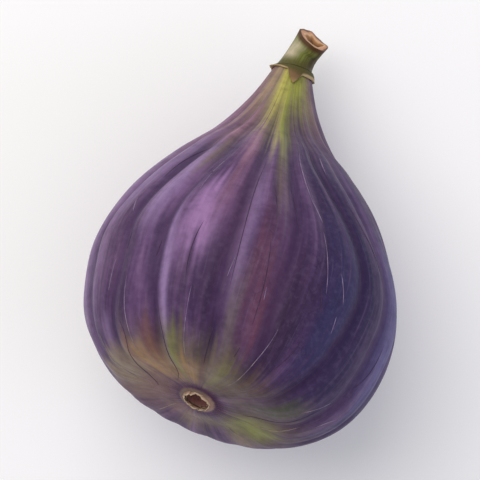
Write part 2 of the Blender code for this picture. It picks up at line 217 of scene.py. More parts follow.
EVEN_PIGMENTS = ("plum_halo_shade", "ring_foot", "ring_pink")
CRACKED = [(63, 10, 22, 43, 0.9), (85, 6, 26, 42, 0.6)]
PATCH_END_SHARE, PATCH_SIDE_POWER = 0.62, 2.6
FRAY_SEED, FRAY_WAVES, FRAY_HEIGHTS = 21, (29, 43, 67, 89, 113, 139), (0.4, 1.0)
FRAY_SHARE, EVEN_FRAY, FULL_TURN = 0.065, 0.03, 6.28
MOUTH_RADIUS, MOUTH_FROM, MOUTH_DEEPENS = 1.9 * MM, -0.1 * MM, 0.4 * MM


def smooth(t):
    t = np.clip(t, 0.0, 1.0)
    return t * t * (3 - 2 * t)


def mix(a, b, t):
    return a + (b - a) * t


def curve_through(points, per_span):
    """A smooth curve through (station, radius) points, its first tangent square to the axis."""
    points = [np.array(p, float) for p in points]
    run = [np.array((points[1][0], -points[1][1]))] + points + [2 * points[-1] - points[-2]]
    curve = []
    for p0, p1, p2, p3 in zip(run, run[1:], run[2:], run[3:]):
        for t in np.arange(per_span) / per_span:
            curve.append(0.5 * (2 * p1 + (p2 - p0) * t + (2 * p0 - 5 * p1 + 4 * p2 - p3) * t ** 2
                                + (3 * p1 - p0 - 3 * p2 + p3) * t ** 3))
    return np.array(curve + [points[-1]])


def waves(chance, angle, counts, heights):
    """Waves round the fig, so many of each to a turn, with heights and places by chance."""
    return sum(chance.uniform(*heights) * np.cos(count * angle + chance.uniform(0, FULL_TURN))
               for count in counts)


def settle_eye(station, x, z):
    """The eye lies a little above the fig's axis, in a shallow dip that faces up."""
    at_eye, out = station < EYE_END, np.hypot(x, z)
    shift = np.where(at_eye, 1 - smooth(out / EYE_SHIFT_REACH), 0)
    sink = np.where(at_eye, 1 - smooth(out / EYE_SINK_REACH), 0)
    return (station + sink * (EYE_SINK + EYE_TILT * z + EYE_ROLL * x),
            x + shift * EYE_SHIFT[0], z + shift * EYE_SHIFT[1])


def lay(station, x, z):
    """Puts points of the straight form on the fig's bent centre line, and lays the fig on its belly."""
    station, x, z = settle_eye(station, x, z)
    along = np.minimum(station, LENGTH) / LENGTH
    bow = math.pi * along
    lift = np.maximum(along - NECK_START, 0) / (1 - NECK_START)
    past = np.maximum(station - LENGTH, 0)
    nudge = sum(size * MM * np.exp(-((station / MM - place) / NUDGE_REACH) ** 2)
                for place, size in SIDE_NUDGES)
    slope_x = (LEAN * np.cos(bow) + 2 * SWAY * np.cos(2 * bow)) * math.pi / LENGTH
    slope_z = (SAG * np.cos(bow) * math.pi + NECK_LIFT * 3 * lift ** 2 / (1 - NECK_START)) / LENGTH
    centre_x = LEAN * np.sin(bow) + SWAY * np.sin(2 * bow) + nudge + past * slope_x
    centre_z = SAG * np.sin(bow) + NECK_LIFT * lift ** 3 + past * slope_z
    fade = 1 - smooth(station / LENGTH / SLANT_FADES_AT)
    y = station + (fade * EYE_SLANT[0] - slope_x) * x + (fade * EYE_SLANT[1] - slope_z) * z
    x, z = centre_x + x - BELLY_X, centre_z + z
    y, z = y * math.cos(PITCH) + z * math.sin(PITCH), z * math.cos(PITCH) - y * math.sin(PITCH)
    return np.stack(np.broadcast_arrays(x, y - BELLY_Y, z + BELLY_DROP - REST_FLAT_DEPTH), axis=-1)


def closed_mesh(name, rings, floats=(), vectors=()):
    """Skins a stack of equal rings, closes each end on the mean of its ring, and stores its attributes."""
    rows, columns = rings.shape[:2]
    points = np.concatenate([rings.reshape(-1, 3), [rings[0].mean(axis=0), rings[-1].mean(axis=0)]])
    first_end, last_end, last_ring = rows * columns, rows * columns + 1, (rows - 1) * columns
    pairs = [(c, (c + 1) % columns) for c in range(columns)]
    faces = []
    for here in range(0, last_ring, columns):
        faces += [(here + c, here + d, here + columns + d, here + columns + c) for c, d in pairs]
    faces += [(first_end, d, c) for c, d in pairs]
    faces += [(last_end, last_ring + c, last_ring + d) for c, d in pairs]
    mesh = bpy.data.meshes.new(name)
    mesh.from_pydata(points.tolist(), [], faces)
    for label, values in dict(floats).items():
        values = np.broadcast_to(values, (rows, columns))
        flat = np.concatenate([values.ravel(), [values[0].mean(), values[-1].mean()]])
        mesh.attributes.new(label, 'FLOAT', 'POINT').data.foreach_set("value", flat.astype(np.float32))
    for label, values in dict(vectors).items():
        flat = np.concatenate([values.reshape(-1, 3), [values[0].mean(axis=0), values[-1].mean(axis=0)]])
        stored = mesh.attributes.new(label, 'FLOAT_VECTOR', 'POINT')
        stored.data.foreach_set("vector", flat.astype(np.float32).ravel())
    corners = points[np.array([face[:3] for face in faces])]
    if np.einsum('ij,ij->i', corners[:, 0], np.cross(corners[:, 1], corners[:, 2])).sum() < 0:
        mesh.flip_normals()
    mesh.shade_smooth()
    return mesh


def add_piece(name, mesh, material):
    """Puts a mesh in the scene, in its material."""
    mesh.materials.append(material)
    piece = bpy.data.objects.new(name, mesh)
    bpy.context.scene.collection.objects.link(piece)
    return piece


def all_grooves():
    """The grooves seen from above, then those of the underside, evenly spread with a little chance."""
    chance = random.Random(GROOVE_SEED)
    first, last = GROOVES_ABOVE[0], GROOVES_ABOVE[-1]
    grooves = list(GROOVES_ABOVE)
    for number in range(1, GROOVES_BELOW + 1):
        share = number / (GROOVES_BELOW + 1)
        drift = chance.uniform(-DRIFT_BELOW, DRIFT_BELOW)
        angles = [mix(last[k], first[k] + 360, share) + drift for k in range(3)]
        grooves.append((*angles, chance.uniform(LEAST_BELOW, MOST_BELOW)))
    return grooves


def rib_angles(way):
    """The azimuths of the grooves in degrees at a way from the eye, the first once more at the end."""
    to_belly = smooth((way - EYE_WAY) / (BELLY_WAY - EYE_WAY))
    to_neck = smooth((way - BELLY_WAY) / (NECK_WAY - BELLY_WAY))
    angles = [mix(mix(eye, belly, to_belly), neck, to_neck) for eye, belly, neck, depth in GROOVES]
    return angles + [angles[0] + 360]


GROOVES = all_grooves()
section = curve_through(SKIN_SECTION, SKIN_CURVE_STEPS) * MM
arc = np.concatenate([[0], np.cumsum(np.hypot(*np.diff(section, axis=0).T))])
eye_part = curve_through(EYE_SECTION + SKIN_SECTION[:1], EYE_CURVE_STEPS)[:-1] * MM
steps = np.linspace(0, arc[-1], SKIN_ROWS - len(eye_part))
evened = np.stack([np.interp(steps, arc, section[:, k]) for k in (0, 1)], axis=1)
section = np.concatenate([eye_part, evened])
station, radius = section[:, :1], section[:, 1:]
way = station + np.where(station < SHOULDER_STATION, radius, WIDEST_SHOULDER)

ribs = len(GROOVES)
share = np.arange(ribs * COLUMNS_PER_RIB) / COLUMNS_PER_RIB
rib, across = share.astype(int), share % 1.0
angles, at_belly = np.hstack(rib_angles(way)), np.array(rib_angles(BELLY_WAY))
span = np.radians(angles[:, rib + 1] - angles[:, rib])
azimuth = np.radians(angles[:, rib]) + span * across
flow = mix(at_belly[rib], at_belly[rib + 1], across)
rings = lay(station, radius * np.cos(azimuth), radius * np.sin(azimuth))
depths = np.array([groove[3] for groove in GROOVES])
ribbing = (smooth((way - RIBS_START) / RIBS_RISE)
           * (1 - RIBS_LOST_AT_NECK * smooth((way - RIBS_FADE) / RIBS_RISE))
           * smooth(rings[..., 2] / RIBS_START_ABOVE_FLAT)
           * mix(1, RIBS_LEFT_BELOW, smooth(BELOW_START - BELOW_SHARPNESS * np.sin(azimuth))))
skin_run = np.empty_like(rings)
skin_run[..., 0] = GIRTH_RADIUS * np.cos(np.radians(flow))
skin_run[..., 1] = GIRTH_RADIUS * np.sin(np.radians(flow))
skin_run[..., 2] = way
fray = waves(np.random.default_rng(FRAY_SEED), np.radians(flow), FRAY_WAVES, FRAY_HEIGHTS)


def cover_of(patches, frayed_by=FRAY_SHARE):
    """How much of a colour lies at each place of the skin; its ends are frayed along the ribs."""
    cover = np.zeros(rings.shape[:2])
    for middle, half_width, start, stop, strength in patches:
        aside = np.abs((flow - middle + 180) % 360 - 180) / half_width
        edge = PATCH_END_SHARE * (stop - start) * MM
        frayed = way + frayed_by * fray * (stop - start) * MM
        along = smooth((frayed - start * MM) / edge + 0.5) * smooth((stop * MM - frayed) / edge + 0.5)
        cover = np.maximum(cover, strength * along * np.exp(-aside ** PATCH_SIDE_POWER))
    return cover


floats = {"gap_left": across * span * radius, "gap_right": (1 - across) * span * radius,
          "depth_left": depths[rib], "depth_right": depths[(rib + 1) % ribs],
          "across_rib": across, "ribbing": ribbing, "cracked": cover_of(CRACKED),
          "in_mouth": smooth((station - MOUTH_FROM) / MOUTH_DEEPENS) * (radius < MOUTH_RADIUS)}
for pigment, (hexa, patches) in PIGMENTS.items():
    floats[pigment] = cover_of(patches, EVEN_FRAY if pigment in EVEN_PIGMENTS else FRAY_SHARE)
skin_mesh = closed_mesh("fig_skin", rings, floats, {"skin_run": skin_run})


def geometry_tree(name, values):
    """A new tree with a geometry in and out and a named input for each value, and its inputs' sockets."""
    kinds = {int: 'NodeSocketInt', float: 'NodeSocketFloat', bpy.types.Material: 'NodeSocketMaterial'}
    tree = bpy.data.node_groups.new(name, 'GeometryNodeTree')
    tree.interface.new_socket("Geometry", in_out='INPUT', socket_type='NodeSocketGeometry')
    for label, value in values.items():
        tree.interface.new_socket(label, in_out='INPUT', socket_type=kinds[type(value)])
    tree.interface.new_socket("Geometry", in_out='OUTPUT', socket_type='NodeSocketGeometry')
    return tree, add(tree, "NodeGroupInput").node.outputs


def end_tree(tree, geometry, material):
    """Makes what a tree gives real geometry in its material."""
    joined = add(tree, "GeometryNodeRealizeInstances", {0: geometry})
    coated = add(tree, "GeometryNodeSetMaterial", {"Geometry": joined, "Material": material})
    add(tree, "NodeGroupOutput", {0: coated})


def grow(piece, tree, values):
    """Runs a tree on a piece with the given inputs, and keeps the result as a plain mesh."""
    modifier = piece.modifiers.new(tree.name, 'NODES')
    modifier.node_group = tree
    for item in tree.interface.items_tree:
        if item.name in values:
            modifier[item.identifier] = values[item.name]
    grown = bpy.data.meshes.new_from_object(piece.evaluated_get(bpy.context.evaluated_depsgraph_get()))
    piece.modifiers.clear()
    piece.data = grown
    grown.shade_smooth()


def ribbed_skin_tree(values):
    """Raises ribs, grooves and fine lengthwise striae on the plain form, and flattens where it rests."""
    tree, given = geometry_tree("ribbed_skin", values)
    at = {name: add(tree, "GeometryNodeInputNamedAttribute", {"Name": name}, data_type='FLOAT')
          for name in ("gap_left", "gap_right", "depth_left", "depth_right", "across_rib", "ribbing")}
    run = add(tree, "GeometryNodeInputNamedAttribute", {"Name": "skin_run"}, data_type='FLOAT_VECTOR')
    hollows = []
    for side in ("left", "right"):
        off = add(tree, "ShaderNodeMath", {0: at["gap_" + side], 1: given["Groove width"]},
                  operation='DIVIDE')
        squared = add(tree, "ShaderNodeMath", {0: off, 1: off}, operation='MULTIPLY')
        fall = add(tree, "ShaderNodeMath", {0: squared, 1: -1.0}, operation='MULTIPLY')
        bell = add(tree, "ShaderNodeMath", {0: fall}, operation='EXPONENT')
        hollows.append(add(tree, "ShaderNodeMath", {0: at["depth_" + side], 1: bell}, operation='MULTIPLY'))
    groove = add(tree, "ShaderNodeMath", {0: hollows[0], 1: hollows[1]}, operation='MAXIMUM')
    half_turn = add(tree, "ShaderNodeMath", {0: at["across_rib"], 1: math.pi}, operation='MULTIPLY')
    arch = add(tree, "ShaderNodeMath", {0: half_turn}, operation='SINE')
    crown = add(tree, "ShaderNodeMath", {0: given["Rib crown"], 1: arch}, operation='MULTIPLY')
    sunk = add(tree, "ShaderNodeMath", {0: given["Groove depth"], 1: groove}, operation='MULTIPLY')
    relief = add(tree, "ShaderNodeMath", {0: crown, 1: sunk}, operation='SUBTRACT')
    lengthwise = add(tree, "ShaderNodeMath", {0: 1.0, 1: given["Stria length"]}, operation='DIVIDE')
    for form in ("Stria", "Dent"):
        sidewise = add(tree, "ShaderNodeMath", {0: 1.0, 1: given[form + " width"]}, operation='DIVIDE')
        scale = add(tree, "ShaderNodeCombineXYZ", {0: sidewise, 1: sidewise, 2: lengthwise})
        stretched = add(tree, "ShaderNodeVectorMath", {0: run, 1: scale}, operation='MULTIPLY')
        noise = add(tree, "ShaderNodeTexNoise", {"Vector": stretched, "W": given["Seed"], "Scale": 1.0,
                                                 "Detail": 2.0}, noise_dimensions='4D')
        off_middle = add(tree, "ShaderNodeMath", {0: noise, 1: 0.5}, operation='SUBTRACT')
        swing = add(tree, "ShaderNodeMath", {0: off_middle, 1: 2.0}, operation='MULTIPLY')
        raised = add(tree, "ShaderNodeMath", {0: swing, 1: given[form + " height"]}, operation='MULTIPLY')
        relief = add(tree, "ShaderNodeMath", {0: relief, 1: raised}, operation='ADD')
    relief = add(tree, "ShaderNodeMath", {0: relief, 1: at["ribbing"]}, operation='MULTIPLY')
    groove = add(tree, "ShaderNodeMath", {0: groove, 1: at["ribbing"]}, operation='MULTIPLY')
    marked = add(tree, "GeometryNodeStoreNamedAttribute",
                 {"Geometry": given["Geometry"], "Name": "groove", "Value": groove},
                 data_type='FLOAT', domain='POINT')
    outward = add(tree, "ShaderNodeVectorMath", {0: add(tree, "GeometryNodeInputNormal"), "Scale": relief},
                  operation='SCALE')
    ribbed = add(tree, "GeometryNodeSetPosition", {"Geometry": marked, "Offset": outward})
    parts = add(tree, "ShaderNodeSeparateXYZ", {0: add(tree, "GeometryNodeInputPosition")}).node.outputs
    above = add(tree, "ShaderNodeMath", {0: parts[2], 1: 0.0}, operation='MAXIMUM')
    rested = add(tree, "ShaderNodeCombineXYZ", {0: parts[0], 1: parts[1], 2: above})
    laid = add(tree, "GeometryNodeSetPosition", {"Geometry": ribbed, "Position": rested})
    end_tree(tree, laid, given["Peel"])
    return tree


# Fresh fig peel: a thin satin skin with pale wax bloom, streaked lengthwise because its cells grow
# along the ribs; some pigments carry painted highlights and painted shade, and the grooves are
# darkened with painted shade.
MOTTLE_SIZE, DUST_SIZE, CRACK_NET_SIZE, GRAIN_SIZE = 2.2, 0.8, 1.5, 0.45
STREAK_HEIGHT, HAIR_HEIGHT, GRAIN_HEIGHT, BUMP_STRENGTH = 0.10 * MM, 0.03 * MM, 0.02 * MM, 0.8
STREAK_CONTRAST, STREAK_LEAST = 1.5, 0.25
MOUTH_COLOUR, GROOVE_SHADE_COLOUR, CRACK_COLOUR, FINE_STREAK_COLOUR = "8C605C", "2C173D", "261533", "3B284C"
PEEL_FINISH = {"Specular IOR Level": 0.16, "Sheen Weight": 0.03, "Sheen Roughness": 0.45,
               "Sheen Tint": colour("C9C4E6"), "IOR": 1.45}
peel, tree, shader, place = surface("violet_fig_peel", PEEL_FINISH)
run_at = add(tree, "ShaderNodeAttribute", give="Vector", attribute_name="skin_run")


def streaks(width, length, detail, offset):
    """Noise drawn out along the ribs, so many mm wide and long."""
    scale = (PER_MM / width, PER_MM / width, PER_MM / length)
    stretched = add(tree, "ShaderNodeMapping", {"Vector": run_at, "Location": (offset,) * 3, "Scale": scale})
    return add(tree, "ShaderNodeTexNoise", {"Vector": stretched, "Scale": 1.0, "Detail": detail})


wide, fine, hair = streaks(3.0, 26, 3, 0.0), streaks(1.1, 14, 3, 5.0), streaks(0.35, 7, 2, 9.0)
mottle = add(tree, "ShaderNodeTexNoise", {"Vector": place, "Scale": PER_MM / MOTTLE_SIZE, "Detail": 4.0})
dust = add(tree, "ShaderNodeTexNoise", {"Vector": place, "Scale": PER_MM / DUST_SIZE, "Detail": 4.0})
grain = add(tree, "ShaderNodeTexNoise", {"Vector": place, "Scale": PER_MM / GRAIN_SIZE, "Detail": 3.0})

shade = add(tree, "ShaderNodeValToRGB", {0: wide},
            stops=[(0.34, "402A4E"), (0.5, "5A3F66"), (0.66, "74567C")])
darker = add(tree, "ShaderNodeValToRGB", {0: fine}, stops=[(0.44, 0.0), (0.66, 0.55)])
shade = add(tree, "ShaderNodeMix", {0: darker, 6: shade, 7: colour(FINE_STREAK_COLOUR)}, data_type='RGBA')
streaked = add(tree, "ShaderNodeMath", {0: fine, 1: STREAK_CONTRAST, 2: STREAK_LEAST},
               operation='MULTIPLY_ADD')
for pigment, (hexa, patches) in PIGMENTS.items():
    cover = add(tree, "ShaderNodeAttribute", give="Fac", attribute_name=pigment)
    if pigment not in EVEN_PIGMENTS:
        cover = add(tree, "ShaderNodeMath", {0: cover, 1: streaked}, operation='MULTIPLY', use_clamp=True)
    shade = add(tree, "ShaderNodeMix", {0: cover, 6: shade, 7: colour(hexa)}, data_type='RGBA')
for noise, least, most, hexa in ((mottle, (0.50, 0.0), (0.72, 0.26), "33233F"),
                                 (hair, (0.60, 0.0), (0.74, 0.08), "A48EB0"),
                                 (dust, (0.48, 0.0), (0.72, 0.06), "A692B4"),
                                 (dust, (0.34, 0.10), (0.48, 0.0), "2E1F3C")):
    amount = add(tree, "ShaderNodeValToRGB", {0: noise}, stops=[least, most])
    shade = add(tree, "ShaderNodeMix", {0: amount, 6: shade, 7: colour(hexa)}, data_type='RGBA')

net = add(tree, "ShaderNodeTexVoronoi",
          {"Vector": run_at, "Scale": PER_MM / CRACK_NET_SIZE, "Randomness": 1.0},
          feature='DISTANCE_TO_EDGE')
net_line = add(tree, "ShaderNodeValToRGB", {0: net}, stops=[(0.0, 0.42), (0.08, 0.0)])
net_broken = add(tree, "ShaderNodeValToRGB", {0: mottle}, stops=[(0.42, 0.0), (0.58, 1.0)])
cracked = add(tree, "ShaderNodeAttribute", give="Fac", attribute_name="cracked")
cracked = add(tree, "ShaderNodeMath", {0: cracked, 1: net_broken}, operation='MULTIPLY')
cracked = add(tree, "ShaderNodeMath", {0: cracked, 1: net_line}, operation='MULTIPLY')
shade = add(tree, "ShaderNodeMix", {0: cracked, 6: shade, 7: colour(CRACK_COLOUR)}, data_type='RGBA')
# Painted shade: the grooves are darkened in step with their depth.
groove_shade = add(tree, "ShaderNodeAttribute", give="Fac", attribute_name="groove")
groove_shade = add(tree, "ShaderNodeValToRGB", {0: groove_shade}, stops=[(0.30, 0.0), (0.95, 0.55)])
shade = add(tree, "ShaderNodeMix", {0: groove_shade, 6: shade, 7: colour(GROOVE_SHADE_COLOUR)}, data_type='RGBA')
deep = add(tree, "ShaderNodeAttribute", give="Fac", attribute_name="in_mouth")
shade = add(tree, "ShaderNodeMix", {0: deep, 6: shade, 7: colour(MOUTH_COLOUR)}, data_type='RGBA')
tree.links.new(shade, shader.inputs["Base Color"])
dulled = add(tree, "ShaderNodeValToRGB", {0: mottle}, stops=[(0.3, 0.44), (0.7, 0.58)])
tree.links.new(dulled, shader.inputs["Roughness"])
height = add(tree, "ShaderNodeMath", {0: hair, 1: HAIR_HEIGHT}, operation='MULTIPLY')
height = add(tree, "ShaderNodeMath", {0: grain, 1: GRAIN_HEIGHT, 2: height}, operation='MULTIPLY_ADD')
height = add(tree, "ShaderNodeMath", {0: fine, 1: STREAK_HEIGHT, 2: height}, operation='MULTIPLY_ADD')
bump = add(tree, "ShaderNodeBump", {"Height": height, "Distance": 1.0, "Strength": BUMP_STRENGTH})
tree.links.new(bump, shader.inputs["Normal"])

fig_skin = add_piece("fig_skin", skin_mesh, peel)
skin_values = {**RIBBING, "Peel": peel}
grow(fig_skin, ribbed_skin_tree(skin_values), skin_values)
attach(fig_skin, "root")
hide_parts("fig_body")


# The hairlines: fine cracks from when the ripening fruit stretched its peel. Old ones have healed as
# pale corky threads that stand a little proud, young ones are dark slits; both follow the ribs.

THREAD_RADIUS, THREAD_SIDES, THREAD_STEPS, DEGREE_ON_SKIN = 0.062 * MM, 6, 28, 0.4
THREAD_END, THREAD_TAPER_POWER, THREAD_BENDS = 0.12, 0.6, 3

# Each thread's places: (degrees round the belly, mm of skin from the middle of the eye)
PALE_THREADS = [
    [(155.6, 19.7), (157, 14), (163, 10.7), (172, 9.6)], [(135, 29), (134, 22.5), (133, 17), (132.5, 12.6)],
    [(107.9, 28.3), (108.9, 22), (109.3, 16.2), (108.4, 13)], [(232.8, 13.9), (236, 9), (229.7, 5)],
    [(-33.3, 6.5), (-31, 9), (-25.2, 10.3)], [(144.2, 32), (144.8, 27.1)], [(94.9, 33.7), (96, 30.6)],
    [(78, 9.3), (77, 16.7), (73.6, 22.7), (72.1, 26.6)], [(64.6, 41.1), (63.2, 38.4), (59.9, 33.7)],
    [(56.9, 36.9), (54.8, 35.5), (52.2, 33.7)], [(52.7, 32), (51.4, 30)], [(66.9, 45.2), (63.9, 42.5)],
    [(81.6, 31), (81.1, 29.4)], [(12, 7.4), (17.1, 10), (24, 13), (25.5, 15.5)],
    [(22.2, 18), (21.7, 20.2), (18.8, 22.7)], [(35.2, 16.7), (33.5, 19.2), (30.1, 22.7)],
    [(144.2, 40.4), (148.4, 43.9)], [(117.8, 50), (118.9, 47.2)], [(39.9, 57.6), (40.8, 53)],
    [(65.4, 56.7), (68, 50), (66.5, 44.2)], [(117.5, 43.2), (118.6, 46.9)]]
DARK_THREADS = [
    [(139.5, 22.7), (136, 16.7), (138, 12), (150, 8.6), (169.5, 6.2)],
    [(122, 25), (121.5, 20), (120, 13), (124, 7), (132, 4.6)], [(97, 22.7), (98.2, 16.2), (98.4, 12.6)],
    [(23.4, 6.5), (27.4, 8.9), (31.5, 14), (31.2, 20.7)], [(84.7, 20.2), (85.7, 17.7)],
    [(62.8, 34.4), (60.4, 32.5), (59, 31)], [(38.6, 48.5), (34.8, 44.2), (31, 40)],
    [(21.7, 34.1), (22, 31.3), (25.7, 27.6)], [(60.7, 28), (61, 24.2), (63.5, 19.2)],
    [(144.8, 47.2), (145.2, 50.5), (143.6, 53), (139.5, 55.8)],
    [(109.6, 37.6), (110.8, 34.5), (111.2, 31.7), (110.7, 29)],
    [(93.4, 50.8), (94.8, 46), (94.9, 37.6), (94, 29)], [(86.7, 45.9), (84.7, 41.5)],
    [(85.2, 37.2), (82.9, 32), (82.6, 25.2)], [(78.5, 49), (76.6, 43), (75.1, 39.7)],
    [(46, 60), (47.5, 55), (49, 50), (52.7, 44.9)], [(140, 33.4), (138.5, 36.2)],
    [(125, 31.7), (124, 34.4)]]
UNSEEN_THREADS, UNSEEN_AROUND, UNSEEN_ALONG = 24, (178, 350), (12, 52)
UNSEEN_RUN, UNSEEN_DRIFT, THREAD_SEED = (2.5, 11), 2.2, 13
THREAD_LEAST_HEIGHT = 1.5 * MM

grown = np.empty(len(fig_skin.data.vertices) * 3)
fig_skin.data.vertices.foreach_get("co", grown)
grown = grown.reshape(-1, 3)[:rings.shape[0] * rings.shape[1]].reshape(rings.shape)
first_row = len(eye_part)


def on_skin(around, along):
    """Places on the ribbed skin for degrees round the belly and mm of skin from the eye."""
    row = np.interp(along * MM, way[first_row:, 0], np.arange(first_row, len(way)))
    column = np.interp((around - flow[0]) % 360, flow - flow[0], np.arange(len(flow)))
    r, c = np.minimum(row.astype(int), len(way) - 2), column.astype(int)
    u, v, d = (row - r)[:, None], (column - c)[:, None], (c + 1) % len(flow)
    return mix(mix(grown[r, c], grown[r, d], v), mix(grown[r + 1, c], grown[r + 1, d], v), u)


def threads_mesh(name, threads):
    """One chain of edges for each hairline, drawn as a smooth curve through its places."""
    points, edges, tapers, ways = [], [], [], []
    share = np.linspace(0, 1, THREAD_STEPS)
    for places in threads:
        places = np.array(places, float)
        lengths = np.hypot(np.diff(places[:, 0]) * DEGREE_ON_SKIN, np.diff(places[:, 1]))
        run = np.r_[0, np.cumsum(lengths)]
        fit = np.polyfit(run / run[-1], places, min(len(places) - 1, THREAD_BENDS))
        around, along = np.polyval(fit[:, 0], share), np.polyval(fit[:, 1], share)
        edges += [(len(points) + k, len(points) + k + 1) for k in range(THREAD_STEPS - 1)]
        points += on_skin(around, along).tolist()
        tapers += (THREAD_END + (1 - THREAD_END) * np.sin(math.pi * share) ** THREAD_TAPER_POWER).tolist()
        ways += along.tolist()
    mesh = bpy.data.meshes.new(name)
    mesh.from_pydata(points, edges, [])
    mesh.attributes.new("taper", 'FLOAT', 'POINT').data.foreach_set("value", tapers)
    mesh.attributes.new("thread_way", 'FLOAT', 'POINT').data.foreach_set("value", ways)
    return mesh


def thread_tree(values):
    """Turns each chain of edges into a thin round thread that tapers to both ends, half sunk in the skin."""
    tree, given = geometry_tree("skin_threads", values)
    taper = add(tree, "GeometryNodeInputNamedAttribute", {"Name": "taper"}, data_type='FLOAT')
    thick = add(tree, "ShaderNodeMath", {0: taper, 1: given["Thread radius"]}, operation='MULTIPLY')
    curves = add(tree, "GeometryNodeMeshToCurve", {0: given["Geometry"]})
    outline = add(tree, "GeometryNodeCurvePrimitiveCircle", {"Resolution": given["Sides"], "Radius": 1.0})
    tubes = add(tree, "GeometryNodeCurveToMesh", {"Curve": curves, "Profile Curve": outline, "Scale": thick,
                                                  "Fill Caps": True})
    end_tree(tree, tubes, given["Thread stuff"])
    return tree


# Healed cork: matt and pale, tan round the eye and the neck, lavender with wax on the belly.
CORK_PATCH_SIZE, CORK_WAY = 1.4, 60.0
healed_cork, tree, shader, place = surface("healed_cork_thread", {"Roughness": 0.7})
thread_way = add(tree, "ShaderNodeAttribute", give="Fac", attribute_name="thread_way")
thread_way = add(tree, "ShaderNodeMath", {0: thread_way, 1: CORK_WAY}, operation='DIVIDE')
shade = add(tree, "ShaderNodeValToRGB", {0: thread_way},
            stops=[(0.2, "9A8A72"), (0.4, "8C7A9A"), (0.8, "90809A")])
patchy = add(tree, "ShaderNodeTexNoise", {"Vector": place, "Scale": PER_MM / CORK_PATCH_SIZE, "Detail": 2.0})
patchy = add(tree, "ShaderNodeValToRGB", {0: patchy}, stops=[(0.42, 0.75), (0.6, 0.0)])
shade = add(tree, "ShaderNodeMix", {0: patchy, 6: shade, 7: colour("644E70")}, data_type='RGBA')
tree.links.new(shade, shader.inputs["Base Color"])

# A young crack: the dark flesh colour seen through the parted peel, rough and without wax.
CRACK_PATCH_SIZE = 1.1
parted_peel, tree, shader, place = surface("parted_peel_crack", {"Roughness": 0.8})
patchy = add(tree, "ShaderNodeTexNoise",
             {"Vector": place, "Scale": PER_MM / CRACK_PATCH_SIZE, "Detail": 2.0})
shade = add(tree, "ShaderNodeValToRGB", {0: patchy}, stops=[(0.4, "2E1A38"), (0.6, "432A4C")])
tree.links.new(shade, shader.inputs["Base Color"])

chance = random.Random(THREAD_SEED)
unseen = []
for number in range(UNSEEN_THREADS):
    around, along = chance.uniform(*UNSEEN_AROUND), chance.uniform(*UNSEEN_ALONG)
    drift = chance.uniform(-UNSEEN_DRIFT, UNSEEN_DRIFT)
    ends = [(around, along), (around + drift, along + chance.uniform(*UNSEEN_RUN))]
    if on_skin(*np.array(ends).T)[:, 2].min() > THREAD_LEAST_HEIGHT:
        unseen.append(ends)
half = len(unseen) // 2
for name, threads, stuff in (("pale_threads", PALE_THREADS + unseen[:half], healed_cork),
                             ("dark_threads", DARK_THREADS + unseen[half:], parted_peel)):
    thread_values = {"Thread radius": THREAD_RADIUS, "Sides": THREAD_SIDES, "Thread stuff": stuff}
    piece = add_piece(name, threads_mesh(name, threads), stuff)
    grow(piece, thread_tree(thread_values), thread_values)
    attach(piece, "root")


# The eye: the fig's natural opening, ringed by small papery scales that overlap like tiles; their
# torn edges have dried to cream and tan, and a second, browner whorl lies inside the mouth.

SCALE_HALF_WIDTH, SCALE_HEIGHT, SCALE_THICKNESS = 1.05 * MM, 0.95 * MM, 0.26 * MM
SCALE_NARROWS, SCALE_THINS, SCALE_CURL, SCALE_BOW = 0.93, 0.65, 5 * MM, 0.10 * MM
SCALE_ROWS, SCALE_COLUMNS = 8, 14
OUTER_WHORL = {"Count": 12, "Ring radius": 2.38 * MM, "Tilt": math.radians(46), "Twist": math.radians(7),
               "Sink": 0.06 * MM, "Size": 1.0, "Seed": 4, "Tear depth": 0.62 * MM}
INNER_WHORL = {"Count": 9, "Ring radius": 1.95 * MM, "Tilt": math.radians(42), "Twist": math.radians(-6),
               "Sink": 0.25 * MM, "Size": 0.84, "Seed": 11, "Tear depth": 0.62 * MM}
LEAST_LEAN, MOST_LEAN, TEAR_WIDTH = -0.12, 0.14, 0.55
LEAST_SIZES, MOST_SIZES = (0.86, 0.9, 0.74), (1.14, 1.15, 1.16)

up = np.linspace(0, 1, SCALE_ROWS)[:, None]
turn = 2 * math.pi * np.arange(SCALE_COLUMNS) / SCALE_COLUMNS
scale_x = SCALE_HALF_WIDTH * np.sqrt(1 - SCALE_NARROWS * up ** 3) * np.cos(turn)
scale_y = (SCALE_THICKNESS / 2 * (1 - SCALE_THINS * up) * np.sin(turn) - scale_x ** 2 / SCALE_CURL
           - SCALE_BOW * np.sin(math.pi * up))
scale_rings = np.stack(np.broadcast_arrays(scale_x, scale_y, up * SCALE_HEIGHT), axis=-1)


